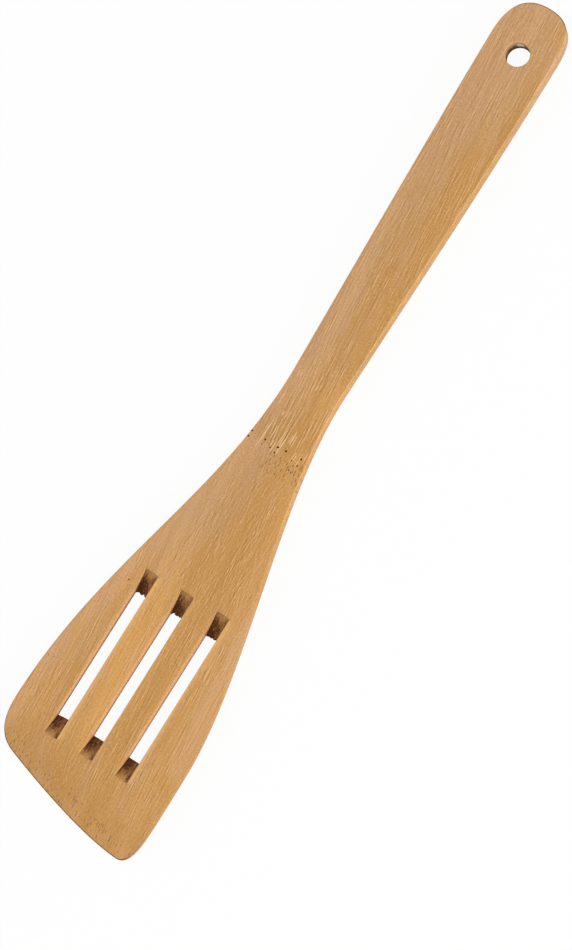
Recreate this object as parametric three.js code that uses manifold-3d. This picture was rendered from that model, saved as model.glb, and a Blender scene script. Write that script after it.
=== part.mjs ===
// Slotted kitchen turner, cut from one strip of bamboo: a tapering handle with a hanging hole, a narrow
// neck, and a flared blade with a slanting lip and three saw-cut slots. Millimetres, +Z up.
// It lies on its back: the front face looks up, the handle end points to +Y, and the lip's long corner,
// its toe, is on the +X side. The origin is on the resting surface, under the middle of the turner's box.
import * as THREE from "three";
import { mergeVertices } from "three/addons/utils/BufferGeometryUtils.js";
import Module from "manifold-3d";

// Plan
const LENGTH = 300;
const HANDLE_WIDTH = 23; // at the shoulders, the handle's widest place
const SHOULDER = 15; // from the handle end to the shoulders
const END_FLATNESS = 6.6; // half of the nearly straight stretch at the very end
const END_BEND = 12.7; // length over which the end's curve runs into the sides
const SHOULDER_BEND = 40; // length over which the sides turn into the handle's taper
const NECK_WIDTH = 18;
const NECK = 142; // from the handle end to the neck
const TAPER_BEND = 10; // length over which the taper turns parallel, above the neck
const NECK_BEND = 47; // length over which the neck turns into the flare
const BLADE_BEND = 53; // length over which the flare turns into the blade's parallel sides
const BLADE_WIDTH = 60.6;
const LIP_SLANT = 15.3; // how much further the toe reaches than the heel
const LIP_BOW = 1.5; // how far the lip swells past a straight line
const HEEL_ROUND = 8.4; // from the heel's sharp corner to where its rounding begins
const TOE_ROUND = 11;

// Thickness
const HANDLE_THICKNESS = 6.8; // at the handle end
const NECK_THICKNESS = 5.9;
const BLADE_THICKNESS = 4.5; // along the middle, where the blade's sides run parallel
const SIDE_THICKNESS = 2; // at the blade's sides, which are thinned on the back
const BACK_FLAT = 24; // width of the blade's back that stays flat between its thinned sides
const LIP_THICKNESS = 2;
const LIP_BEVEL = 14; // length of the bevel on the front face that thins the lip
const EDGE_ROUND = 0.7;
const EDGE_SHARE = 0.45; // the rounding takes at most this share of a thin edge

// Hanging hole
const HOLE_DIAMETER = 8.2;
const HOLE_INSET = 17.9; // from the handle end to the hole's centre
const HOLE_EASE = 0.4; // chamfer on both rims

// Slots, plunged from the front by saw blades on one arbor
const SLOT_COUNT = 3;
const SLOT_PITCH = 13.5;
const SLOT_WIDTH = 4.8;
const SLOT_LENGTH = 44.8; // on the back, from where the saw's round leaves a ramp at each end
const SLOT_MIDDLE = 51.3; // from the lip's furthest point to the middle of the slots
const SAW_DIAMETER = 100;

// How finely the curves are drawn
const END_STEPS = 10;
const HANDLE_STEPS = 10;
const FLARE_STEPS = 22;
const LIP_STEPS = 8;
const ACROSS_STEPS = 12;
const HOLE_SIDES = 40;
const SAW_SIDES = 180;
const RIM_STEP = 0.25; // where a rounded edge has a row of points of its own, as a share of its radius
const CUT_CLEAR = 1; // how far the drill passes the face that it leaves

const { clamp, lerp, smoothstep } = THREE.MathUtils;
const point = (x, y) => new THREE.Vector2(x, y);
const halfway = (from, to) => from.clone().lerp(to, 0.5);
const towards = (from, to, distance) => to.clone().sub(from).setLength(distance).add(from);

// Stations along the turner
const handleEnd = LENGTH / 2;
const lipEnd = -LENGTH / 2;
const shoulder = handleEnd - SHOULDER;
const neck = handleEnd - NECK;
const holeCentre = handleEnd - HOLE_INSET;
const slotMiddle = lipEnd + SLOT_MIDDLE;

// The lip is one shallow curve between two sharp corners, which are then rounded. Rounding the toe takes a
// little off it, so its sharp corner lies past the finished length.
const lipRise = LIP_SLANT / 2 - 2 * LIP_BOW;
const toeRise = (TOE_ROUND * lipRise) / Math.hypot(BLADE_WIDTH / 2, lipRise);
const toe = point(BLADE_WIDTH / 2, lipEnd - (TOE_ROUND * toeRise) / (TOE_ROUND + toeRise));
const heel = point(-BLADE_WIDTH / 2, toe.y + LIP_SLANT);
const lipPull = point(0, toe.y + lipRise);
const bladeSide = heel.y + HEEL_ROUND; // where the flare ends and the sides run parallel

// The right side, from the handle end to where the blade's sides run parallel. The left side mirrors it.
function sideCurves() {
  const handle = HANDLE_WIDTH / 2;
  const waist = NECK_WIDTH / 2;
  const blade = BLADE_WIDTH / 2;
  const end = new THREE.CubicBezierCurve(
    point(0, handleEnd),
    point(END_FLATNESS, handleEnd),
    point(handle, shoulder + END_BEND),
    point(handle, shoulder),
  );
  const taper = new THREE.CubicBezierCurve(
    point(handle, shoulder),
    point(handle, shoulder - SHOULDER_BEND),
    point(waist, neck + TAPER_BEND),
    point(waist, neck),
  );
  const flare = new THREE.CubicBezierCurve(
    point(waist, neck),
    point(waist, neck - NECK_BEND),
    point(blade, bladeSide + BLADE_BEND),
    point(blade, bladeSide),
  );
  return [
    { curve: end, steps: END_STEPS },
    { curve: taper, steps: HANDLE_STEPS },
    { curve: flare, steps: FLARE_STEPS },
  ];
}

// Places across a row, from 0 at its left end to 1 at its right, closer together over the rounded edges
function placesAcross(width) {
  const rim = Math.min(EDGE_ROUND / width, 1 / ACROSS_STEPS);
  const places = [0, rim * RIM_STEP];
  for (let step = 0; step <= ACROSS_STEPS; step += 1) {
    places.push(lerp(rim, 1 - rim, step / ACROSS_STEPS));
  }
  places.push(1 - rim * RIM_STEP, 1);
  return places;
}

// Rows of points straight across the handle and the flare
function upperRows() {
  const rows = [];
  for (const { curve, steps } of sideCurves()) {
    for (const { x, y } of curve.getPoints(steps).slice(rows.length ? 1 : 0)) {
      rows.push(placesAcross(2 * x).map((place) => point(lerp(-x, x, place), y)));
    }
  }
  return rows;
}

// The first half of a corner's rounding, from one edge to the middle of the corner
function halfCorner(onEdge, corner, onOtherEdge) {
  const pull = halfway(onEdge, corner);
  const otherPull = halfway(onOtherEdge, corner);
  return new THREE.QuadraticBezierCurve(onEdge, pull, halfway(pull, otherPull));
}

// Below the flare the rows turn step by step into the slanting lip. Each is drawn straight between the two
// sides and takes on a growing share of the lip's curve, with half of each rounded corner at its ends.
function lipRows() {
  const heelOnSide = point(heel.x, bladeSide);
  const toeOnSide = point(toe.x, toe.y + TOE_ROUND);
  const heelOnLip = towards(heel, lipPull, HEEL_ROUND);
  const toeOnLip = towards(toe, lipPull, TOE_ROUND);

  const left = halfCorner(heelOnSide, heel, heelOnLip);
  const right = new THREE.CurvePath();
  right.add(new THREE.LineCurve(point(toe.x, bladeSide), toeOnSide));
  right.add(halfCorner(toeOnSide, toe, toeOnLip));
  const heelHalf = halfCorner(heelOnLip, heel, heelOnSide);
  const lip = new THREE.CurvePath();
  lip.add(new THREE.QuadraticBezierCurve(heelHalf.v2, heelHalf.v1, heelHalf.v0));
  lip.add(new THREE.QuadraticBezierCurve(heelOnLip, lipPull, toeOnLip));
  lip.add(halfCorner(toeOnLip, toe, toeOnSide));

  const rim = EDGE_ROUND / (bladeSide - lipEnd);
  const downs = [];
  for (let step = 1; step <= LIP_STEPS; step += 1) {
    downs.push((1 - rim) * (step / LIP_STEPS));
  }
  downs.push(1 - rim * RIM_STEP, 1);
  const [lipLeft, lipRight] = [left.getPoint(1), right.getPoint(1)];
  return downs.map((down) => {
    const [from, to] = [left.getPointAt(down), right.getPointAt(down)];
    return placesAcross(BLADE_WIDTH).map((place) => {
      const bend = lip.getPointAt(place).sub(lipLeft.clone().lerp(lipRight, place));
      return from.clone().lerp(to, place).addScaledVector(bend, down);
    });
  });
}

// The front face falls from the handle end to the blade, and its bevel thins the lip.
function frontHeight({ x, y }) {
  const onHandle = lerp(HANDLE_THICKNESS, NECK_THICKNESS, (handleEnd - y) / NECK);
  const onBlade = lerp(NECK_THICKNESS, BLADE_THICKNESS, Math.min((neck - y) / (neck - bladeSide), 1));
  const along = x / BLADE_WIDTH + 0.5;
  const lipLine = lerp(lerp(heel.y, lipPull.y, along), lerp(lipPull.y, toe.y, along), along);
  return lerp(LIP_THICKNESS, y > neck ? onHandle : onBlade, smoothstep(y - lipLine, 0, LIP_BEVEL));
}

// The back is flat along the middle and rises towards the blade's sides, to leave them thin.
function backHeight(place) {
  const pastFlat = Math.max(Math.abs(place.x) - BACK_FLAT / 2, 0) / ((BLADE_WIDTH - BACK_FLAT) / 2);
  return Math.max(frontHeight(place) - SIDE_THICKNESS, 0) * pastFlat * pastFlat;
}

// How far a point of the plan lies inside the outline
function depthInside(place, outline) {
  const gaps = outline.map((from, index) => {
    const edge = outline[(index + 1) % outline.length].clone().sub(from);
    const along = clamp(place.clone().sub(from).dot(edge) / edge.lengthSq(), 0, 1);
    return place.distanceTo(from.clone().addScaledVector(edge, along));
  });
  return Math.min(...gaps);
}

// How far the rounded edge falls away from a face
function edgeDrop(depth, thickness) {
  const radius = Math.min(EDGE_ROUND, EDGE_SHARE * thickness);
  const short = Math.max(radius - depth, 0);
  return radius - Math.sqrt(radius * radius - short * short);
}

// The sawn and sanded strip, before its slots and its hole: a front, a back and the edge between them
function stripGeometry() {
  const rows = [...upperRows(), ...lipRows()];
  const wide = rows[0].length;
  const last = rows.length - 1;
  const plan = rows.flat();

  // Once round the outline: down the left side, along the lip and up the right side
  const rim = [];
  for (let row = 0; row < last; row += 1) {
    rim.push(row * wide);
  }
  for (let place = 0; place < wide; place += 1) {
    rim.push(last * wide + place);
  }
  for (let row = last - 1; row > 0; row -= 1) {
    rim.push(row * wide + wide - 1);
  }

  const outline = rim.map((index) => plan[index]);
  const front = [];
  const back = [];
  for (const place of plan) {
    const [high, low] = [frontHeight(place), backHeight(place)];
    const drop = edgeDrop(depthInside(place, outline), high - low);
    front.push(place.x, place.y, high - drop);
    back.push(place.x, place.y, low + drop);
  }

  const faces = [];
  const under = plan.length;
  for (let row = 0; row < last; row += 1) {
    for (let place = 0; place < wide - 1; place += 1) {
      const a = row * wide + place;
      const [b, c, d] = [a + 1, a + 1 + wide, a + wide];
      faces.push(a, d, c, a, c, b);
      faces.push(under + a, under + c, under + d, under + a, under + b, under + c);
    }
  }
  rim.forEach((from, index) => {
    const to = rim[(index + 1) % rim.length];
    faces.push(under + from, under + to, to, under + from, to, from);
  });

  const geometry = new THREE.BufferGeometry();
  geometry.setAttribute("position", new THREE.Float32BufferAttribute([...front, ...back], 3));
  geometry.setIndex(faces);
  return geometry;
}

// One saw blade at its full depth, where its round gives the slot its length on the back
function sawGeometry(x) {
  const radius = SAW_DIAMETER / 2;
  const arbor = Math.sqrt(radius ** 2 - (SLOT_LENGTH / 2) ** 2);
  return new THREE.CylinderGeometry(radius, radius, SLOT_WIDTH, SAW_SIDES)
    .rotateZ(Math.PI / 2)
    .translate(x, slotMiddle, arbor);
}

// The drill for the hanging hole, flared where it eases the two rims
function drillGeometry() {
  const radius = HOLE_DIAMETER / 2;
  const flare = radius + HOLE_EASE + CUT_CLEAR;
  const top = frontHeight(point(0, holeCentre));
  const profile = [
    point(0, -CUT_CLEAR),
    point(flare, -CUT_CLEAR),
    point(radius, HOLE_EASE),
    point(radius, top - HOLE_EASE),
    point(flare, top + CUT_CLEAR),
    point(0, top + CUT_CLEAR),
  ];
  return new THREE.LatheGeometry(profile, HOLE_SIDES).rotateX(Math.PI / 2).translate(0, holeCentre, 0);
}

const wasm = await Module();
wasm.setup();

// A closed geometry as a solid. Points that coincide become one, and faces that shrink to a line go.
function solid(geometry) {
  geometry.deleteAttribute("normal");
  geometry.deleteAttribute("uv");
  const merged = mergeVertices(geometry);
  const corners = [];
  for (let first = 0; first < merged.index.count; first += 3) {
    const face = merged.index.array.slice(first, first + 3);
    if (new Set(face).size === 3) {
      corners.push(...face);
    }
  }
  const vertProperties = merged.attributes.position.array;
  return new wasm.Manifold(new wasm.Mesh({ numProp: 3, vertProperties, triVerts: new Uint32Array(corners) }));
}

function turnerGeometry() {
  let turner = solid(stripGeometry());
  for (let slot = 0; slot < SLOT_COUNT; slot += 1) {
    const x = (slot - (SLOT_COUNT - 1) / 2) * SLOT_PITCH;
    turner = turner.subtract(solid(sawGeometry(x)));
  }
  turner = turner.subtract(solid(drillGeometry()));
  const { vertProperties, triVerts } = turner.getMesh();
  const geometry = new THREE.BufferGeometry();
  geometry.setAttribute("position", new THREE.BufferAttribute(vertProperties, 3));
  geometry.setIndex(new THREE.BufferAttribute(triVerts, 1));
  geometry.computeVertexNormals();
  return geometry;
}

const bamboo = new THREE.MeshStandardMaterial({ color: 0xc99965, roughness: 0.6, metalness: 0 });
const turner = new THREE.Mesh(turnerGeometry(), bamboo);
turner.name = "turner";

const kitchenTurner = new THREE.Group();
kitchenTurner.add(turner);

export default kitchenTurner;
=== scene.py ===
from math import atan2, comb, cos, hypot, pi, radians, sin, sqrt, tan

import bmesh
import bpy
import numpy as np
from mathutils import Matrix, Vector
from mathutils.geometry import delaunay_2d_cdt
from mathutils.kdtree import KDTree


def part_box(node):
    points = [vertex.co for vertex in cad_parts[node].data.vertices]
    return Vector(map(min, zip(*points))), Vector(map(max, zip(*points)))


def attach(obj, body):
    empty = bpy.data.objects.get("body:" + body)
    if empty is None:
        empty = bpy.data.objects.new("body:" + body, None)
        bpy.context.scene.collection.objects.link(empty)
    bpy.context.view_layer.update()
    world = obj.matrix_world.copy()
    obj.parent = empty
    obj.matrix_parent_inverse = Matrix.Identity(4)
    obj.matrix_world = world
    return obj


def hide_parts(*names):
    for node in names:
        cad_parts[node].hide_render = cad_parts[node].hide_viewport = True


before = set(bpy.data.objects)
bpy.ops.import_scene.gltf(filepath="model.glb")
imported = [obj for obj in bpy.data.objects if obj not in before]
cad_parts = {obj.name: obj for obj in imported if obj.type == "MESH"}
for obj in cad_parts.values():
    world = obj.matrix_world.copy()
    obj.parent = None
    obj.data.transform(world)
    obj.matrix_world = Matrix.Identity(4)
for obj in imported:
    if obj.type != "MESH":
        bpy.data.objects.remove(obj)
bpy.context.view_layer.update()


# The strip: the whole turner, from handle end to lip, is one strip of bamboo, split from the cane, planed,
# sawn to its outline and sanded smooth. Its slots are plunged from the front by saws on one arbor, and its
# hanging hole is drilled. It lies on its back, front face up, with the handle end at +Y and the toe at +X.
low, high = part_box("turner")
handle_end, lip_end, blade_half, handle_thickness = high.y, low.y, high.x, high.z
handle_half = 0.01153
handle_side = -0.00016
neck_half = 0.00902
shoulder = handle_end - 0.015
neck = handle_end - 0.142
left_reach = blade_half
left_widest = lip_end + 0.0232
right_reach = blade_half - 0.0004
right_widest = lip_end + 0.0336


def side_curves(way, end_flat, end_bend, shoulder_bend, taper_bend, neck_bend, blade_bend, reach, widest):
    """The right side for way 1 or the left for way -1, from the handle end to the blade's widest place.

    It is three curves, each given by its ends and by how far it is drawn straight on from them.
    """
    grip, waist, blade = handle_side + way * handle_half, way * neck_half, way * reach
    return [
        [(0, handle_end), (way * end_flat, handle_end), (grip, shoulder + end_bend), (grip, shoulder)],
        [(grip, shoulder), (grip, shoulder - shoulder_bend), (waist, neck + taper_bend), (waist, neck)],
        [(waist, neck), (waist, neck - neck_bend), (blade, widest + blade_bend), (blade, widest)],
    ]


# The two sides differ a little, in the rounding of the handle end, in their taper, in how far out the blade
# reaches and in where it is widest.
left_side = side_curves(
    way=-1,
    end_flat=0.0066,
    end_bend=0.0114,
    shoulder_bend=0.029,
    taper_bend=0.004,
    neck_bend=0.0477,
    blade_bend=0.0529,
    reach=left_reach,
    widest=left_widest,
)
right_side = side_curves(
    way=1,
    end_flat=0.0095,
    end_bend=0.0097,
    shoulder_bend=0.0547,
    taper_bend=0.0086,
    neck_bend=0.0394,
    blade_bend=0.0343,
    reach=right_reach,
    widest=right_widest,
)

# The lip slants from the heel, on the left, to the toe. The toe is rounded a little along the lip and far
# up the side. That takes something off it, so its sharp corner lies past the finished length.
lip_slant = 0.0142
lip_rise = 0.00091
lip_pull_side = 0.0084
heel_round = 0.0083
toe_in = 0.0008
toe_round = 0.0054
toe_up = 0.0158
right_fall = 0.0137
toe_rise = toe_round * lip_rise / hypot(blade_half - toe_in - lip_pull_side, lip_rise)
toe = Vector((blade_half - toe_in, lip_end - toe_up * toe_rise / (toe_up + toe_rise)))
heel = Vector((-left_reach, toe.y + lip_slant))
lip_pull = Vector((lip_pull_side, toe.y + lip_rise))
right_pull = Vector((right_reach, right_widest - right_fall))
heel_on_lip = heel + heel_round * (lip_pull - heel).normalized()
toe_on_lip = toe + toe_round * (lip_pull - toe).normalized()
toe_on_side = toe + toe_up * (right_pull - toe).normalized()
lip = [
    [(-left_reach, left_widest), heel, heel_on_lip],
    [heel_on_lip, lip_pull, toe_on_lip],
    [toe_on_lip, toe, toe_on_side],
    [toe_on_side, right_pull, (right_reach, right_widest)],
]


def bezier(*pulls, steps=200):
    """Points along a Bezier curve, without its last one."""
    share = np.arange(steps)[:, None] / steps
    order = len(pulls) - 1
    weights = [comb(order, k) * share**k * (1 - share) ** (order - k) for k in range(order + 1)]
    return sum(weight * np.array(pull) for weight, pull in zip(weights, pulls))


def evenly(loop, spacing):
    """A closed loop again, with its points about a spacing apart."""
    closed = np.vstack([loop, loop[:1]])
    along = np.append(0, np.cumsum(np.linalg.norm(np.diff(closed, axis=0), axis=1)))
    stations = np.linspace(0, along[-1], round(along[-1] / spacing), endpoint=False)
    return np.stack([np.interp(stations, along, column) for column in closed.T], axis=1)


outline_step = 0.0008
round_the_turner = [*left_side, *lip, *(curve[::-1] for curve in reversed(right_side))]
outline = evenly(np.vstack([bezier(*curve) for curve in round_the_turner]), outline_step)

# Thicknesses: the front falls from the handle to the neck, stays nearly level down to the slots, falls
# again along them and is bevelled at the lip. The back is flat along its middle and rises towards the
# blade's sides, to leave them thin.
neck_thickness = 0.0052
flare_thickness = 0.0051
flare_end = lip_end + 0.085
blade_thickness = 0.0045
side_thickness = 0.002
lip_thickness = 0.002
lip_bevel = 0.014
back_flat_half = 0.012
planed_at = [left_widest, flare_end, neck, handle_end]
planed_to = [blade_thickness, flare_thickness, neck_thickness, handle_thickness]
lip_line = bezier(heel, lip_pull, toe)


def smooth(value, start, stop):
    """0 up to start, 1 from stop, and smooth between them."""
    share = np.clip((value - start) / (stop - start), 0, 1)
    return share**2 * (3 - 2 * share)


def front(x, y):
    """How high the front lies."""
    planed = np.interp(y, planed_at, planed_to)
    from_lip_line = y - np.interp(x, *lip_line.T)
    return lip_thickness + (planed - lip_thickness) * smooth(from_lip_line, 0, lip_bevel)


def back(x, y):
    """How high the back lies."""
    past_flat = np.maximum(np.abs(x) - back_flat_half, 0) / (blade_half - back_flat_half)
    return np.maximum(front(x, y) - side_thickness, 0) * past_flat**2


# Slots: the saw's round leaves a ramp at both ends of each, and tears the fibres where it breaks out of the
# back at the upper ends.
slot_half = 0.00237
slot_pitch = 0.0134
slot_shift = -0.00027
slot_slant = 0.0104
slot_middle = lip_end + 0.0513
slot_length = 0.0445
slot_ease = 0.0003
back_ease = 0.0001
saw_radius = 0.0515
arbor = sqrt(saw_radius**2 - (slot_length / 2) ** 2)
# Each slot's middle, how far its end is torn all across, and the lobes torn further, which are given by
# middle, half width and depth
torn_ends = [
    (-slot_pitch, 0.0003, [(-0.0014, 0.0009, 0.0003), (0.0003, 0.0007, 0.0006), (0.0015, 0.0006, 0.0003)]),
    (0, 0.0005, [(-0.0016, 0.0007, 0.0005), (0.0001, 0.0006, 0.0002), (0.0014, 0.0009, 0.0003)]),
    (slot_pitch, 0.0, [(-0.0013, 0.0007, 0.0002), (-0.0002, 0.0005, 0.0003), (0.0012, 0.0008, 0.0002)]),
]
torn_squareness = 6
ramp_end_rounds = 6
across_steps, ramp_steps, through_steps, wall_steps, torn_steps = 32, 14, 52, 10, 2


def askew(x, y):
    """Where a place in a slot lies across the blade: the saws ran a little off the handle's line."""
    return x + slot_shift + slot_slant * (y - slot_middle)


def ramp(y):
    """How high the saw's round lies."""
    return arbor - np.sqrt(saw_radius**2 - (y - slot_middle) ** 2)


def ramp_end(height, x, way):
    """Where a ramp runs out at a height, towards the handle for way 1 and towards the lip for way -1."""
    y = np.full_like(x, slot_middle + way * slot_length / 2)
    for _ in range(ramp_end_rounds):
        y = slot_middle + way * np.sqrt(saw_radius**2 - (arbor - height(x, y)) ** 2)
    return y


def eased_front(x, y):
    return front(askew(x, y), y) - slot_ease


def eased_back(x, y):
    return back(askew(x, y), y) + back_ease


def torn(from_middle, shallow, lobes):
    """How far a slot's end is torn beyond the saw's round."""
    bites = shallow * (1 - (from_middle / slot_half) ** torn_squareness)
    for at, half, depth in lobes:
        bites = bites + depth * np.cos(np.clip((from_middle - at) / half, -1, 1) * pi / 2) ** 2
    return bites


points, faces = [], []


def lay(x, y, z, closed=False):
    """Adds a sheet of quads to the strip, from grids of places, closed round if its rows are loops."""
    rows, wide = np.broadcast(x, y, z).shape
    first = len(points)
    points.extend(np.stack(np.broadcast_arrays(x, y, z), axis=-1).reshape(-1, 3))
    for row in range(rows - 1):
        for column in range(wide if closed else wide - 1):
            beside = (column + 1) % wide
            a, b = first + row * wide + column, first + row * wide + beside
            faces.append((a, b, b + wide, a + wide))


def between(start, stop, steps):
    """Steps from one row of numbers to another, as rows."""
    return np.linspace(start, stop, steps + 1)


def slot_edge(across, sides, upper, lower):
    """A slot's edge as a loop: up the left side, over the top, down the right side and along the bottom."""
    left, right = sides
    top = np.stack([askew(across, upper), upper], axis=1)[1:-1]
    bottom = np.stack([askew(across, lower), lower], axis=1)[1:-1]
    return np.vstack([left, top, right[::-1], bottom[::-1]])


def lay_slot(middle, shallow, lobes):
    """Adds a slot's walls and ramps to the strip, and gives its edges in the front and in the back."""
    across = between(middle - slot_half, middle + slot_half, across_steps)
    upper_front, lower_front = ramp_end(eased_front, across, 1), ramp_end(eased_front, across, -1)
    upper_back, lower_back = ramp_end(eased_back, across, 1), ramp_end(eased_back, across, -1)
    upper_back = upper_back + torn(across - middle, shallow, lobes)
    front_sides, back_sides = [], []
    for side in (0, -1):
        lower = between(lower_front[side], lower_back[side], ramp_steps)
        through = between(lower_back[side], upper_back[side], through_steps)
        upper = between(upper_back[side], upper_front[side], ramp_steps)
        y = np.concatenate([lower[:-1], through, upper[1:]])
        foot = np.concatenate([ramp(lower[:-1]), eased_back(across[side], through), ramp(upper[1:])])
        x = askew(across[side], y)
        lay(x, y, between(foot, eased_front(across[side], y), wall_steps))
        front_sides.append(np.stack([x, y], axis=1))
        back_sides.append(np.stack([askew(across[side], through), through], axis=1))
    for from_back, to_front in ((upper_back, upper_front), (lower_back, lower_front)):
        y = between(from_back, to_front, ramp_steps)
        lay(askew(across, y), y, ramp(y))
        step_up = between(eased_back(across, from_back), ramp(from_back), torn_steps)
        lay(askew(across, from_back), from_back, step_up)
    front_edge = slot_edge(across, front_sides, upper_front, lower_front)
    back_edge = slot_edge(across, back_sides, upper_back, lower_back)
    return front_edge, back_edge


front_cuts, back_cuts = [], []
for torn_end in torn_ends:
    front_edge, back_edge = lay_slot(*torn_end)
    front_cuts.append((front_edge, slot_ease))
    back_cuts.append((back_edge, back_ease))

# Hanging hole
hole_radius = 0.004
hole_side = -0.0004
hole_middle = handle_end - 0.0179
hole_ease = 0.0004
hole_sides = 80
hole_turns = -np.linspace(0, 2 * pi, hole_sides, endpoint=False)
hole_round = np.stack([np.cos(hole_turns), np.sin(hole_turns)], axis=1)
hole = np.array((hole_side, hole_middle)) + hole_radius * hole_round

# Walls round the outline and in the hole, between their rounded edges
edge_round = 0.00045
outline_rows, hole_rows = 5, 8
for loop, ease, steps in ((outline, edge_round, outline_rows), (hole, hole_ease, hole_rows)):
    x, y = loop.T
    lay(x, y, between(back(x, y) + ease, front(x, y) - ease, steps), closed=True)

# Front and back: rows of points along every edge, close together over its rounding, and a grid of triangles
# with equal sides elsewhere
round_turns = np.radians((22.5, 45, 67.5, 90))
flat_ring = 1.7
grid_step = 0.0016
grid_row = grid_step * sqrt(0.75)
same_place = 1e-7


def inward(loop):
    """The direction into the bamboo at each point of an edge, which has the bamboo on its left."""
    ahead = np.roll(loop, -1, axis=0) - np.roll(loop, 1, axis=0)
    ahead /= np.linalg.norm(ahead, axis=1)[:, None]
    return np.stack([-ahead[:, 1], ahead[:, 0]], axis=1)


def plan_tree(places):
    """Finds the nearest of some places, seen from above."""
    nearest = KDTree(len(places))
    for k, (x, y) in enumerate(places):
        nearest.insert((x, y, 0), k)
    nearest.balance()
    return nearest


def lay_face(height, way, edges):
    """Adds the front for way 1 or the back for way -1, with the edges given as loops and their rounding."""
    plan, drops, links = [], [], []

    def row(loop, drop):
        first = len(plan)
        plan.extend(loop)
        drops.extend([drop] * len(loop))
        links.extend((first + k, first + (k + 1) % len(loop)) for k in range(len(loop)))

    for loop, radius in edges:
        row(loop, radius)
    on_edge = len(plan)
    for loop, radius in edges:
        for turn in round_turns:
            row(loop + radius * (1 - cos(turn)) * inward(loop), radius * (1 - sin(turn)))
        row(loop + flat_ring * radius * inward(loop), 0)

    edge = np.vstack([loop for loop, radius in edges])
    into = np.vstack([inward(loop) for loop, radius in edges])
    rings = [np.full(len(loop), flat_ring * radius) for loop, radius in edges]
    clear = np.concatenate(rings) + grid_step / 2
    near = plan_tree(edge)
    for count, y in enumerate(np.arange(lip_end, handle_end, grid_row)):
        for x in np.arange(-blade_half, blade_half, grid_step) + grid_step / 2 * (count % 2):
            _, k, distance = near.find((x, y, 0))
            if distance > clear[k] and np.dot((x, y) - edge[k], into[k]) > 0:
                plan.append((x, y))
                drops.append(0)

    flat = [Vector(place) for place in plan]
    _, _, triangles, origins, _, _ = delaunay_2d_cdt(flat, links, [], 0, same_place)
    first = len(points)
    x, y = np.array(plan).T
    points.extend(np.stack([x, y, height(x, y) - way * np.array(drops)], axis=1))
    for triangle in triangles:
        corners = [origins[k][0] for k in triangle]
        if max(corners) >= on_edge:
            faces.append([first + k for k in corners])


lay_face(front, 1, [(outline, edge_round), (hole, hole_ease), *front_cuts])
lay_face(back, -1, [(outline, edge_round), (hole, hole_ease), *back_cuts])

merge = 1e-6
sharp_angle = radians(35)
mesh = bpy.data.meshes.new("turner_strip")
mesh.from_pydata(np.array(points).tolist(), [], faces)
shell = bmesh.new()
shell.from_mesh(mesh)
bmesh.ops.remove_doubles(shell, verts=shell.verts, dist=merge)
bmesh.ops.dissolve_degenerate(shell, edges=shell.edges, dist=same_place)
bmesh.ops.recalc_face_normals(shell, faces=shell.faces)
shell.to_mesh(mesh)
shell.free()
mesh.shade_smooth()
mesh.set_sharp_from_angle(angle=sharp_angle)


# What the tools left on the bamboo, point by point, and the light and shade painted on it: scorch on the
# ramps, walls and bore, with painted shade deep down in them, dark cut ends with painted shade on the edges
# that face away from the lamps, pale sanded edges with a painted highlight, pale sawn walls with painted
# light on their upper part, and a painted glint in the bore, which also gets a shiny coat
def distance_from(line):
    """How far each point of the mesh lies, seen from above, from the nearest of a line's points."""
    near = plan_tree(line)
    return np.array([near.find((corner.co.x, corner.co.y, 0))[2] for corner in mesh.vertices])


def store_mark(name, values):
    """Keeps a number for each point of the mesh, for its material to read."""
    mesh.attributes.new(name, "FLOAT", "POINT").data.foreach_set("value", values.astype(np.float32))


# Where each point lies: how deep, by which slot, on its ramp, wall or rim, in the hole, on the strip's side
slot_reach = 0.032
eased_share = 0.9
round_share = 1.2
x, y, z = np.array([corner.co for corner in mesh.vertices]).T
facing = np.array([normal.vector for normal in mesh.vertex_normals])
top, bottom = front(x, y), back(x, y)
deep = (top - z) / (top - bottom)
unslanted = x - slot_shift - slot_slant * (y - slot_middle)
slot_number = np.clip(np.round(unslanted / slot_pitch), -1, 1)
from_slot = unslanted - slot_pitch * slot_number
across_slot = from_slot / slot_half
along_slot = np.abs(y - slot_middle)
beside_slots = along_slot < slot_reach
over_slot = beside_slots & (np.abs(from_slot) < slot_half + merge)
in_slot = over_slot & (z < top - eased_share * slot_ease)
ramp_height = np.maximum(ramp(np.clip(y, slot_middle - slot_reach, slot_middle + slot_reach)), bottom)
past_ramp = along_slot - np.sqrt(saw_radius**2 - (arbor - top) ** 2)
on_ramp = in_slot & (z < ramp_height + back_ease) & (along_slot > slot_length / 2 - merge)
on_wall = in_slot & ~on_ramp
on_slot_rim = beside_slots & (z > top - slot_ease)
down_wall = (top - z) / np.maximum(top - ramp_height, merge)
from_hole = np.hypot(x - hole_side, y - hole_middle)
in_hole = (from_hole < hole_radius + merge) & (z < top - eased_share * hole_ease)
on_side = distance_from(outline) < edge_round
on_round = on_side & (z > top - round_share * edge_round)

# The painted glint, a painted highlight on the bore's wall that also gets a shiny coat: by its place round
# the bore, and by its upper and lower ends as shares of the depth
glint_turn = radians(112)
glint_half, glint_end = radians(8), radians(22)
past_glint = np.abs(np.arctan2(y - hole_middle, x - hole_side) - glint_turn)
round_bore = 1 - smooth(past_glint, glint_half, glint_end)
below_top = smooth(deep, 0.2, 0.4)
above_foot = 1 - smooth(deep, 0.55, 0.75)
glint = round_bore * below_top * above_foot
store_mark("glint_coat", glint * in_hole)


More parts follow.
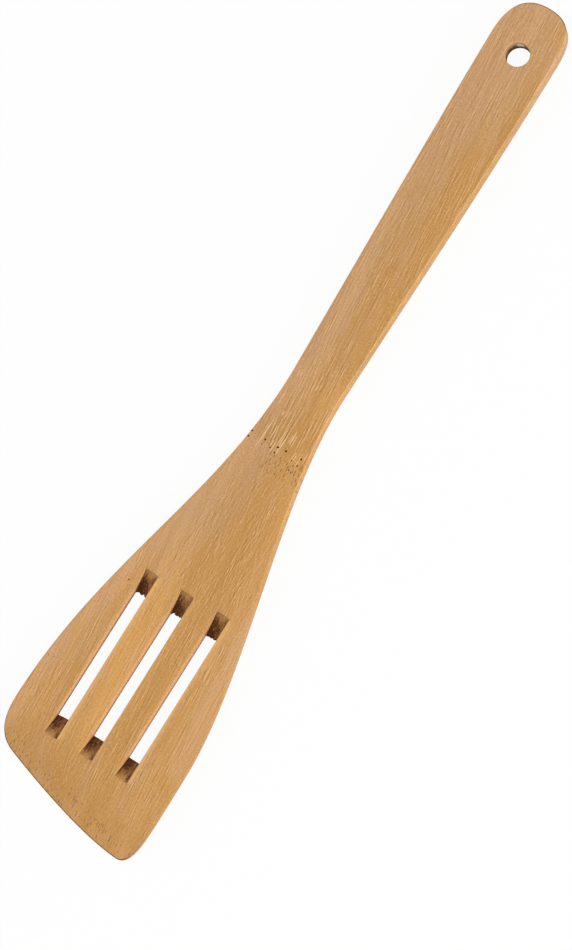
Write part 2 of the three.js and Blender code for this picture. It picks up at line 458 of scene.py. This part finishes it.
# Scorch of the slots and the bore, with painted shade: strongest at the foot, where painted shade darkens
# them deep inside, and on the walls of the left slot
def scorched_and_shaded_ramp(start, middle, to_right, top_right):
    """A ramp's scorch and painted shade from a starting depth down: its middle, its change to the right,
    and a painted shadow of the slot's right wall at its top right.
    """
    to_foot = smooth(deep, start, 0.8)
    at_right = smooth(across_slot, 0.2, 0.8)
    at_top = 1 - smooth(deep, 0.2, 0.6)
    return to_foot * (middle + to_right * across_slot) + top_right * at_right * at_top


def scorched_and_shaded_rim(middle, to_right):
    """The scorch and painted shade of the front's edge over a ramp: what it is in the middle, and its
    change to the right.
    """
    fade_start, fade_stop = -0.0001, 0.00025
    return (middle + to_right * across_slot) * (1 - smooth(past_ramp, fade_start, fade_stop))


upper_end = y > slot_middle
# Painted shade deep in the ramps, darker on the left, and a painted shadow of each slot's right wall at the
# ramp's top right, together with their scorch
upper_ramp = scorched_and_shaded_ramp(start=-0.5, middle=1.05, to_right=-0.6, top_right=0.35)
lower_ramp = scorched_and_shaded_ramp(start=-0.35, middle=0.96, to_right=-0.45, top_right=0.6)
ramp_scorch_and_shade = np.where(upper_end, upper_ramp, lower_ramp)
upper_rim = scorched_and_shaded_rim(middle=0.6, to_right=-0.18)
lower_rim = scorched_and_shaded_rim(middle=0.3, to_right=0.2)
rim_scorch_and_shade = np.where(upper_end, upper_rim, lower_rim) * over_slot * on_slot_rim
# Painted shade at the walls' feet, deep in the slots, together with their scorch
wall_scorch_and_shade = (0.5 - 0.2 * slot_number) * smooth(down_wall, 0.62, 0.92)
# Painted shade deeper down the bore, together with its scorch, except under the painted glint
bore_scorch_and_shade = (0.1 + 0.95 * smooth(deep, 0.2, 0.7)) * (1 - glint)

# Cut ends of the fibres, as dark as scorch, with painted shade on the edges that face away from the lamps:
# round the handle end and the lip, and along the sides where these cross the fibres, more on the left,
# which is in shade, than on the right. The blade's sides, which curve under, get a little painted shade all
# over.
endwise = np.abs(facing[:, 1]) / np.maximum(np.hypot(facing[:, 0], facing[:, 1]), merge)
at_an_end, at_the_left, at_the_right = 1, 1.5, 0.4
round_an_end = (y < left_widest) | (y > shoulder)
end_strength = np.where(round_an_end, at_an_end, np.where(x < 0, at_the_left, at_the_right))
below_front = smooth(top - z, 0, 0.07 * edge_round)
round_ends = 0.85 * smooth(endwise, 0.3, 0.8)
wall_ends = 0.5 * smooth(endwise, 0.6, 0.95)
end_dark_and_shade = on_side * end_strength * below_front * np.where(on_round, round_ends, wall_ends)
# Painted shade on the blade's sides, which curve under and face away from the light
below_neck = 1 - smooth(y, neck - 0.068, neck - 0.02)
painted_side_shade = 0.3 * below_neck * on_side * (z < top - merge)
face_scorch_and_shade = np.maximum(np.maximum(end_dark_and_shade, painted_side_shade), rim_scorch_and_shade)
scorch_and_shade = np.select([on_ramp, on_wall, in_hole], [ramp_scorch_and_shade, wall_scorch_and_shade, bore_scorch_and_shade], face_scorch_and_shade)
store_mark("scorch_and_shade", scorch_and_shade)

# Sanded edges, paler on the handle than on the blade, with a painted highlight where they turn from the
# face to the side; painted highlights on the slots' rims, mostly their right rims; and the slots' pale sawn
# walls, with painted light on their upper part that fades out towards their foot
# Painted highlight on the rounded edges where they face half up and half sideways, over sanded wood a
# little paler
upright = facing[:, 2] ** 2
half_turned = smooth(4 * upright * (1 - upright), 0.3, 0.9)
edge_strength = 0.1 + 0.9 * smooth(y, neck - 0.088, neck - 0.038)
sanded_edge_highlight = half_turned * edge_strength * (1 - end_dark_and_shade)
# Painted highlight along the slots' rims, strongest on their right rims
left_rim, right_rim, middle_right_rim = 0.1, 1.1, 0.35
left_rim_reach, right_rim_reach = 0.0012, 0.0015
rim_clear_of_ramp = 0.0005
right_of_slot = from_slot > 0
rim_reach = np.where(right_of_slot, right_rim_reach, left_rim_reach)
rim_strength = np.where(right_of_slot, np.where(slot_number == 0, middle_right_rim, right_rim), left_rim)
rim_highlight = rim_strength * (1 - smooth(np.abs(from_slot) - slot_half, 0, rim_reach))
rim_highlight = rim_highlight * on_slot_rim * (past_ramp < -rim_clear_of_ramp)
# Pale sawn walls, with painted light on their upper part that fades out towards their foot
wall_strength = 0.4 + 1.3 * smooth(down_wall, 0.05, 0.25)
wall_paleness_and_light = wall_strength * (1 - smooth(down_wall, 0.55, 0.9))
# Painted highlight of the glint on the bore's wall
glint_pale = 1.7 * glint
ramp_pale = np.zeros_like(x)
face_highlight = np.maximum(sanded_edge_highlight, rim_highlight)
pale = np.select([on_ramp, in_hole, on_wall], [ramp_pale, glint_pale, wall_paleness_and_light], face_highlight)
store_mark("pale", pale)

# Margins along the flare's and the blade's sides
margin_width = 0.011
from_side = distance_from(np.vstack([bezier(*left_side[2]), bezier(*right_side[2])]))
store_mark("margin", 1 - smooth(from_side, 0, margin_width))


class Value:
    """What a node puts out. Arithmetic on it adds Math nodes to the same tree."""

    def __init__(self, socket):
        self.socket = socket

    def node(self, kind, settings, inputs, output=0):
        """A new node in the same tree: its settings first, then the values or links of its sockets."""
        tree = self.socket.id_data
        made = tree.nodes.new(kind)
        for name, setting in settings.items():
            setattr(made, name, setting)
        for key, value in inputs.items():
            if isinstance(value, Value):
                tree.links.new(value.socket, made.inputs[key])
            else:
                made.inputs[key].default_value = value
        return Value(made.outputs[output])

    def math(self, operation, first, second=0.0):
        return self.node("ShaderNodeMath", {"operation": operation}, {0: first, 1: second})

    def __add__(self, other):
        return self.math("ADD", self, other)

    def __sub__(self, other):
        return self.math("SUBTRACT", self, other)

    def __rsub__(self, other):
        return self.math("SUBTRACT", other, self)

    def __mul__(self, other):
        return self.math("MULTIPLY", self, other)

    def __abs__(self):
        return self.math("ABSOLUTE", self)

    __radd__ = __add__
    __rmul__ = __mul__

    def rise(self, start, stop):
        """0 up to start, 1 from stop, and smooth between them."""
        settings = {"interpolation_type": "SMOOTHSTEP"}
        return self.node("ShaderNodeMapRange", settings, {0: self, 1: start, 2: stop})


def srgb(*levels):
    """A colour given in picture levels from 0 to 255, as Blender wants it."""
    parts = [level / 255 for level in levels]
    return (*(part / 12.92 if part < 0.04045 else ((part + 0.055) / 1.055) ** 2.4 for part in parts), 1)


def mix(share, first, second):
    """The first colour for a share of 0, the second for 1, and a mixture between them."""
    settings = {"data_type": "RGBA"}
    return share.node("ShaderNodeMix", settings, {0: share, 6: first, 7: second}, output=2)


def band(value, start, full, fade, stop):
    """A soft band: 0 up to start, 1 from full to fade, 0 again from stop."""
    return value.rise(start, full) * (1 - value.rise(fade, stop))


def in_millimetres(material):
    """A material's places on the turner, in millimetres."""
    per_mm = (1000, 1000, 1000)
    place = Value(material.node_tree.nodes.new("ShaderNodeTexCoord").outputs["Object"])
    return place.node("ShaderNodeVectorMath", {"operation": "MULTIPLY"}, {0: place, 1: per_mm})


def drawn(places, width, length, shift):
    """Places squeezed along the fibres, so that what is as long as it is wide there comes out drawn."""
    squeeze = {0: places, 1: (1 / width, 1 / length, 1 / width), 2: shift}
    return places.node("ShaderNodeVectorMath", {"operation": "MULTIPLY_ADD"}, squeeze)


def cloud(places, width, length, shift=(0, 0, 0)):
    """Soft streaks from -0.5 to 0.5, by their width and length in millimetres."""
    inputs = {"Vector": drawn(places, width, length, shift), "Scale": 1.0, "Detail": 0.0}
    return places.node("ShaderNodeTexNoise", {}, inputs) - 0.5


def ridges(places, width, length, shift=(0, 0, 0)):
    """Fine ridges: streaks, each with one of the other kind close beside it."""
    beside = (shift[0] + 0.8, shift[1], shift[2])
    return cloud(places, width, length, shift) - cloud(places, width, length, beside)


def slivers(places, spacing, reach, thick, shift, cells="3D"):
    """Straight slivers, one to a cell that is spacing wide and reach long, each of its own strength."""
    inputs = {"Vector": drawn(places, spacing, reach, shift), "Scale": 1.0}
    cell = places.node("ShaderNodeTexVoronoi", {"voronoi_dimensions": cells}, inputs)
    strength = cell.node("ShaderNodeSeparateColor", {}, {0: Value(cell.socket.node.outputs["Color"])})
    return (1 - cell.rise(0.5 * thick, thick)) * strength


# Bamboo: a tan ground, pinker on the handle's left and at its end and more golden elsewhere, with straight
# slivers of pale and dark fibre, short on the flare above the slots and long on the rest
bamboo = bpy.data.materials.new("bamboo")
bamboo.use_nodes = True
grain_slant = radians(4.3)
grain_height = 0.49
straight = in_millimetres(bamboo)
turned = {0: straight, "Location": (0, 0, grain_height), "Rotation": (0, 0, -grain_slant)}
fibre = straight.node("ShaderNodeMapping", {}, turned)
split = straight.node("ShaderNodeSeparateXYZ", {}, {0: straight}).socket.node.outputs
over, along = Value(split["X"]), Value(split["Y"])
over_fibres = fibre.node("ShaderNodeSeparateXYZ", {}, {0: fibre})


def stored_mark(name):
    """What the mesh keeps under a name, point by point."""
    return fibre.node("ShaderNodeAttribute", {"attribute_name": name}, {}, output=2)


# Parts of the strip, in millimetres and with soft ends: bands along it, and across its fibres the bars
# between its slots
lip_slope = 0.2375
lip_middle = -143.1
cane_joint = -15.0
from_lip = along + lip_slope * over - lip_middle
near_lip = 1 - from_lip.rise(4, 14)
on_blade = 1 - along.rise(-80, -40)
on_flare = band(along, -78, -64, -19, -15)
above_joint = band(along, cane_joint - 1, cane_joint + 1.5, cane_joint + 6, cane_joint + 20)
below_joint = band(along, cane_joint - 11, cane_joint - 6, cane_joint - 2, cane_joint + 0.5)
left_bar = band(over_fibres, -19, -15, -12, -8)
right_bar = band(over_fibres, -6, -3, 1, 4)
right_part = over_fibres.rise(6, 11)
right_half = over.rise(0, 8)
margin = stored_mark("margin")

# Ground: its hue, from 0 for pink to 1 for gold, is a sum of what each part of the strip adds or takes
pink, gold = srgb(202, 156, 110), srgb(199, 147, 81)
least_gold = 0.1
handle_gold = 0.88 * over.rise(-9, 9) * (1 - on_blade)
blade_gold = (0.65 + 0.1 * left_bar + 0.4 * right_bar) * on_blade
joint_gold = 0.25 * above_joint
flare_gold = 0.1 * on_flare
end_pink = 0.8 * along.rise(80, 145)
margin_pink = (0.55 - 0.25 * right_part) * on_blade + 0.3 * right_half * on_flare
long_clouds = 0.8 * cloud(fibre, width=5, length=40)
short_clouds = 0.6 * cloud(fibre, width=3, length=9, shift=(4, 2, 0))
hue = handle_gold + blade_gold + least_gold + joint_gold + flare_gold - end_pink
hue = hue - margin_pink * margin + long_clouds + short_clouds
colour = mix(hue.rise(0, 1), pink, gold)

# Tone: how much lighter, or darker if less than 0, each part of the strip is than its ground
blade_tone = 0.28 * left_bar * from_lip.rise(10, 24) + 0.07 * right_part - 0.03 * near_lip
margin_tone = 0.12 + 0.06 * right_half + 0.06 * on_blade - 0.12 * right_part * on_blade
handle_tone = -0.03 * (1 - on_blade)
joint_tone = -0.1 * above_joint
# Painted light at the handle end, lighter towards it
painted_end_light = 0.06 * along.rise(100, 145)
tone = on_blade * blade_tone + margin_tone * margin + handle_tone + joint_tone + painted_end_light
toned = {0: colour, "Scale": 1 + 0.7 * tone}
colour = colour.node("ShaderNodeVectorMath", {"operation": "SCALE"}, toned)

# Grain: ridges along the fibres, in clusters, with speckle and broad streaks
darker, lighter = srgb(160, 111, 60), srgb(238, 190, 129)
clusters = 1 + 2.4 * cloud(fibre, width=2.2, length=18, shift=(6, 1, 2))
long_grain = ridges(fibre, width=0.45, length=7)
short_grain = ridges(fibre, width=0.45, length=2.5, shift=(9, 4, 1))
grain_strength = 1 + above_joint - 0.3 * below_joint - 0.6 * near_lip - 0.3 * margin
grain = (long_grain + on_flare * (short_grain - long_grain)) * clusters * grain_strength
speckle_strength = 1 + 0.3 * below_joint - 0.2 * near_lip
speckle = cloud(fibre, width=0.35, length=0.5, shift=(5, 5, 5)) * speckle_strength
streaks = cloud(fibre, width=2.5, length=60, shift=(3, 1, 4))
shade = 0.58 * grain + 0.6 * speckle + 0.25 * streaks
shade_colour = mix(shade.rise(-0.05, 0.05), darker, lighter)
colour = mix(1.6 * abs(shade), colour, shade_colour)


# Slivers of dark and pale fibre, nicks at the lip and below the joint, and a smudge at the joint
def dashes(shift):
    """The slivers all over the strip, moved across the fibres by a shift in cells."""
    long_ones = slivers(fibre, spacing=0.55, reach=9, thick=0.26, shift=(7 + shift, 0, 2))
    short_ones = slivers(fibre, spacing=0.6, reach=4, thick=0.28, shift=(3 + shift, 3, 2))
    return (long_ones + on_flare * (short_ones - long_ones)) * clusters


dark_fibre, pale_fibre = srgb(146, 99, 54), srgb(240, 198, 144)
nick_brown, smudge_brown = srgb(146, 97, 51), srgb(146, 86, 34)
joint_pale = above_joint * slivers(fibre, spacing=0.7, reach=18, thick=0.26, shift=(1, 8, 3))
joint_dark = 1.6 * above_joint * slivers(fibre, spacing=0.7, reach=18, thick=0.3, shift=(1.5, 8, 3))
pale_slivers = dashes(0) * (1 - 0.7 * near_lip) + joint_pale
dark_slivers = dashes(0.45) * (1 + 0.4 * near_lip) + joint_dark
nicked = 0.8 * (1 - from_lip.rise(2, 10)) + below_joint * over.rise(-7, 1)
nicks = nicked * slivers(fibre, spacing=0.7, reach=2.1, thick=0.42, shift=(9, 4, 2), cells="2D")
smudge = band(over, 9.3, 9.9, 10.3, 11) * band(along, -17.8, -16.8, -15.6, -14.8)
colour = mix(0.5 * dark_slivers, colour, dark_fibre)
colour = mix(0.75 * nicks.rise(0.25, 0.85), colour, nick_brown)
colour = mix(0.7 * pale_slivers, colour, pale_fibre)
colour = mix(0.45 * smudge, colour, smudge_brown)

# Sanded edges and sawn walls, with their painted highlights and painted light, and over them the scorch and
# the painted shade, which are uneven where they are strong
sanded_and_highlight, scorch_shade_brown, char_shade_brown = srgb(242, 190, 126), srgb(140, 97, 58), srgb(84, 51, 27)
colour = mix(0.6 * stored_mark("pale"), colour, sanded_and_highlight)
flattened = fibre.node("ShaderNodeVectorMath", {"operation": "MULTIPLY"}, {0: fibre, 1: (1, 1, 0)})
long_patches = cloud(flattened, width=0.5, length=2.5, shift=(2, 2, 2))
short_patches = cloud(flattened, width=0.5, length=0.6, shift=(6, 2, 2))
even_burn_and_shade = stored_mark("scorch_and_shade")
burn_and_shade = even_burn_and_shade * (1 + 0.9 * even_burn_and_shade.rise(0.3, 0.7) * (long_patches + short_patches))
burn_and_shade_colour = mix(burn_and_shade.rise(0.6, 1.3), scorch_shade_brown, char_shade_brown)
colour = mix(burn_and_shade.rise(0, 1), colour, burn_and_shade_colour)

# Finish: a soft satin, rougher under the scorch and painted shade, and shiny on the painted glint in the
# bore
roughness = 0.5 + 0.3 * grain + 0.4 * burn_and_shade
bumps = {"Strength": 0.15, "Distance": 0.0001, "Height": grain + pale_slivers}
finish = bamboo.node_tree.nodes["Principled BSDF"]
finish.inputs["Specular IOR Level"].default_value = 0.25
finish.inputs["Coat Roughness"].default_value = 0.15
for name, value in (
    ("Base Color", colour),
    ("Roughness", roughness),
    ("Coat Weight", stored_mark("glint_coat")),
    ("Normal", grain.node("ShaderNodeBump", {}, bumps)),
):
    bamboo.node_tree.links.new(value.socket, finish.inputs[name])
mesh.materials.append(bamboo)

strip = bpy.data.objects.new("turner_strip", mesh)
bpy.context.scene.collection.objects.link(strip)
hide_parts("turner")
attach(strip, "root")


# The cane's joint crosses the neck. There the fibre bundles turn through the strip: their cut ends show as
# dark specks, and pale bundles that the sander left a little proud run up from them. They are the strip's
# own wood, sunk into it. Their sizes and places are in millimetres.
mm = 0.001
# Cut ends on the front: where across and along, half width and half length
cut_ends = [
    (-9.9, -13.6, 0.28, 0.32),
    (-10.05, -15.7, 0.32, 0.35),
    (-4.8, -14.05, 0.34, 0.36),
    (-5.0, -15.8, 0.2, 0.25),
    (-2.1, -15.4, 0.28, 0.3),
    (0.05, -14.1, 0.41, 0.42),
    (0.0, -16.1, 0.28, 0.4),
    (2.95, -13.9, 0.39, 0.4),
    (5.9, -15.5, 0.25, 0.32),
    (8.55, -13.7, 0.38, 0.39),
    (8.55, -16.1, 0.33, 0.34),
    (6.9, -18.6, 0.17, 0.4),
    (7.8, -18.9, 0.18, 0.38),
    (9.15, -19.2, 0.22, 0.32),
    (-18.6, -73.8, 0.28, 0.3),
    (-28.1, -107.1, 0.18, 0.2),
    (-26.3, -106.6, 0.16, 0.18),
]
# Proud bundles on the front: the lower end, the upper end and the half width
proud_bundles = [
    ((-6.9, 8.1), (-7.0, 11.2), 0.11),
    ((-6.1, 8.9), (-6.2, 11.4), 0.11),
    ((0.9, 7.3), (0.9, 9.3), 0.11),
    ((1.7, 7.8), (1.7, 10.3), 0.11),
    ((-7.4, -3.0), (-7.3, 3.0), 0.11),
    ((-6.35, -18.0), (-5.85, -6.0), 0.15),
    ((-4.25, -5.2), (-4.2, -2.9), 0.11),
    ((-3.1, -5.6), (-3.1, -2.3), 0.11),
    ((-3.75, -13.4), (-3.55, -7.8), 0.12),
    ((-2.3, -15.0), (-2.2, -12.4), 0.11),
    ((-1.55, -17.2), (-1.4, -11.8), 0.12),
    ((-0.6, -14.2), (-0.35, -7.6), 0.11),
    ((0.6, -17.4), (0.8, -7.8), 0.15),
    ((2.1, -11.6), (2.2, -8.0), 0.11),
    ((2.75, -12.0), (2.7, -6.4), 0.18),
    ((3.6, -12.8), (3.4, -7.4), 0.11),
    ((5.7, -16.8), (5.9, -12.2), 0.11),
    ((6.5, -15.6), (6.5, -12.8), 0.11),
    ((7.95, -17.2), (8.1, -10.8), 0.12),
    ((9.4, -14.4), (9.5, -10.8), 0.11),
]
deep_half = 0.12
proud = 0.03
seen_share = sqrt(1 - (1 - proud / deep_half) ** 2)
ball_roundness = 2

bundle_tree = bpy.data.node_groups.new("bundles", "GeometryNodeTree")
sockets = bundle_tree.interface
sockets.new_socket("Places", in_out="INPUT", socket_type="NodeSocketGeometry")
roundness_input = sockets.new_socket("Roundness", in_out="INPUT", socket_type="NodeSocketInt").identifier
finish_input = sockets.new_socket("Finish", in_out="INPUT", socket_type="NodeSocketMaterial").identifier
sockets.new_socket("Bundles", in_out="OUTPUT", socket_type="NodeSocketGeometry")
given = bundle_tree.nodes.new("NodeGroupInput").outputs
middles = Value(given["Places"])
vector = {"data_type": "FLOAT_VECTOR"}
drawn_out = middles.node("GeometryNodeInputNamedAttribute", vector, {"Name": "size"})
turn_angles = middles.node("GeometryNodeInputNamedAttribute", vector, {"Name": "turn"})
rotation = turn_angles.node("FunctionNodeEulerToRotation", {}, {0: turn_angles})
ball_inputs = {"Radius": 1.0, "Subdivisions": Value(given["Roundness"])}
ball = middles.node("GeometryNodeMeshIcoSphere", {}, ball_inputs)
on_points = {"Points": middles, "Instance": ball, "Rotation": rotation, "Scale": drawn_out}
laid = middles.node("GeometryNodeInstanceOnPoints", {}, on_points)
made_real = laid.node("GeometryNodeRealizeInstances", {}, {0: laid})
softened = made_real.node("GeometryNodeSetShadeSmooth", {}, {0: made_real})
finished = softened.node("GeometryNodeSetMaterial", {}, {0: softened, "Material": Value(given["Finish"])})
bundle_tree.links.new(finished.socket, bundle_tree.nodes.new("NodeGroupOutput").inputs["Bundles"])


def bundle(x, y, half_width, half_length, lean, way):
    """A bundle in the front for way 1 or the back for way -1: its place, half sizes and turn."""
    x, y, half_length = x * mm, y * mm, half_length * mm
    height = front if way > 0 else back
    slope = (height(x, y + half_length) - height(x, y - half_length)) / (2 * half_length)
    place = (x, y, height(x, y) - way * (deep_half - proud) * mm)
    half_sizes = half_width * mm / seen_share, half_length / seen_share, deep_half * mm
    return place, half_sizes, (atan2(slope, 1), 0, lean)


def lay_bundles(name, bundles, material):
    """A piece with one small ball, drawn out and turned, for each bundle."""
    dots = bpy.data.meshes.new(name)
    places, sizes, turns = zip(*bundles)
    dots.from_pydata(places, [], [])
    for attribute, values in (("size", sizes), ("turn", turns)):
        made = dots.attributes.new(attribute, "FLOAT_VECTOR", "POINT")
        made.data.foreach_set("vector", np.array(values).astype(np.float32).ravel())
    piece = bpy.data.objects.new(name, dots)
    bpy.context.scene.collection.objects.link(piece)
    modifier = piece.modifiers.new("bundles", "NODES")
    modifier.node_group = bundle_tree
    modifier[roundness_input] = ball_roundness
    modifier[finish_input] = material
    drawn_up = piece.evaluated_get(bpy.context.evaluated_depsgraph_get())
    solid = bpy.data.meshes.new_from_object(drawn_up)
    piece.modifiers.remove(modifier)
    piece.data = solid
    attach(piece, "root")


def bundle_finish(name, first, second, roughness, shine):
    """A fibre bundle's finish: two colours, drawn along it."""
    material = bpy.data.materials.new(name)
    material.use_nodes = True
    streaks = cloud(in_millimetres(material), width=0.2, length=1.5)
    colour = mix(streaks.rise(-0.2, 0.2), first, second)
    shader = material.node_tree.nodes["Principled BSDF"]
    shader.inputs["Roughness"].default_value = roughness
    shader.inputs["Specular IOR Level"].default_value = shine
    material.node_tree.links.new(colour.socket, shader.inputs["Base Color"])
    return material


ends = [bundle(*cut_end, lean=0, way=1) for cut_end in cut_ends]
bundles = []
for (x_low, y_low), (x_high, y_high), half_width in proud_bundles:
    half_length = hypot(x_high - x_low, y_high - y_low) / 2
    lean = atan2(x_low - x_high, y_high - y_low)
    bundles.append(bundle((x_low + x_high) / 2, (y_low + y_high) / 2, half_width, half_length, lean, way=1))

# The back has some too, at even steps across it and moved by chance
chance = np.random.default_rng(seed=5)
back_half = 9
back_step = 1.5
back_end_half_length = 0.3
for x in np.arange(-back_half, back_half + back_step / 2, back_step):
    start = cane_joint + chance.uniform(-1.5, 1.5)
    half_length = chance.uniform(2, 5)
    end_x = x + chance.uniform(-0.6, 0.6)
    end_half_width = chance.uniform(0.15, 0.32)
    ends.append(bundle(end_x, start, end_half_width, back_end_half_length, lean=0, way=-1))
    middle = start + half_length + chance.uniform(0, 3)
    half_width = chance.uniform(0.11, 0.16)
    bundles.append(bundle(x, middle, half_width, half_length, lean=grain_slant / 2, way=-1))

end_colours = srgb(70, 35, 12), srgb(100, 58, 26)
bundle_colours = srgb(236, 192, 138), srgb(248, 214, 168)
dark_end = bundle_finish("dark_end", *end_colours, roughness=0.8, shine=0.05)
pale_bundle = bundle_finish("pale_bundle", *bundle_colours, roughness=0.5, shine=0.25)
lay_bundles("cut_ends", ends, dark_end)
lay_bundles("proud_bundles", bundles, pale_bundle)


# The table that the turner lies on: a smooth white sheet under soft light, which shows as plain white and
# keeps a faint shadow.
table_size = 6
table_gap = 0.0002
sheet_colour = (0.95, 0.95, 0.95, 1)
plain_share = 0.93
bpy.ops.mesh.primitive_plane_add(size=table_size)
table = bpy.context.object
table.name = "table"
table.location.z = -table_gap


def seen_directly(tree):
    """1 for what shows to the camera, in reflections or through glass, and 0 for the light on things."""
    rays = tree.nodes.new("ShaderNodeLightPath").outputs
    seen = Value(rays["Is Camera Ray"])
    for ray in ("Is Glossy Ray", "Is Transmission Ray"):
        seen = seen.math("MAXIMUM", seen, Value(rays[ray]))
    return seen


white = bpy.data.materials.new("white_table")
white.use_nodes = True
white_tree = white.node_tree
white_tree.nodes.remove(white_tree.nodes["Principled BSDF"])
seen = seen_directly(white_tree)
lit = seen.node("ShaderNodeBsdfDiffuse", {}, {"Color": sheet_colour})
plain = seen.node("ShaderNodeEmission", {}, {"Strength": 1.0})
sheet = seen.node("ShaderNodeMixShader", {}, {0: plain_share * seen, 1: lit, 2: plain})
white_tree.links.new(sheet.socket, white_tree.nodes["Material Output"].inputs["Surface"])
table.data.materials.append(white)

# Soft light: a white sky, dimmer on things than it shows, and three square lamps
sky_light = 0.45
studio = bpy.data.worlds.new("studio")
bpy.context.scene.world = studio
studio.use_nodes = True
sky = studio.node_tree.nodes["Background"]
sky.inputs["Color"].default_value = (1, 1, 1, 1)
sky_strength = sky_light + (1 - sky_light) * seen_directly(studio.node_tree)
studio.node_tree.links.new(sky_strength.socket, sky.inputs["Strength"])


def lamp(name, towards, distance, size, level):
    """A square soft lamp, whose level is what it adds to a white sheet that faces it."""
    data = bpy.data.lights.new(name, "AREA")
    data.size = size
    data.energy = level * (pi * distance) ** 2
    made = bpy.data.objects.new(name, data)
    made.location = Vector(towards).normalized() * distance
    made.rotation_euler = Vector(towards).to_track_quat("Z", "Y").to_euler()
    bpy.context.scene.collection.objects.link(made)


lamp("side_lamp", towards=(0.89, -0.1, 0.42), distance=1.2, size=0.5, level=0.42)
lamp("top_lamp", towards=(0.6, 0.1, 1.2), distance=1.6, size=1.2, level=0.32)
lamp("fill_lamp", towards=(-0.9, -0.2, 0.4), distance=1.4, size=0.9, level=0.25)

# The camera looks down on the front face from the toe's side, rolled so that the handle leans to the right.
handle_lean = radians(32.05)
tilt_to_toe = radians(14.23)
tilt_to_lip = radians(4.64)
camera_distance = 1.2
aim = Vector((0.00643, -0.02016, 0.003))
towards_camera = Vector((tan(tilt_to_toe), -tan(tilt_to_lip), 1)).normalized()
picture_up = Vector((-sin(handle_lean), cos(handle_lean), 0))
picture_right = picture_up.cross(towards_camera).normalized()
axes = Matrix((picture_right, towards_camera.cross(picture_right), towards_camera)).transposed()
camera = bpy.data.objects.new("camera", bpy.data.cameras.new("camera"))
camera.data.lens = 144.75
camera.matrix_world = Matrix.Translation(aim + camera_distance * towards_camera) @ axes.to_4x4()
bpy.context.scene.collection.objects.link(camera)
bpy.context.scene.camera = camera
bpy.context.scene.view_settings.view_transform = "Standard"
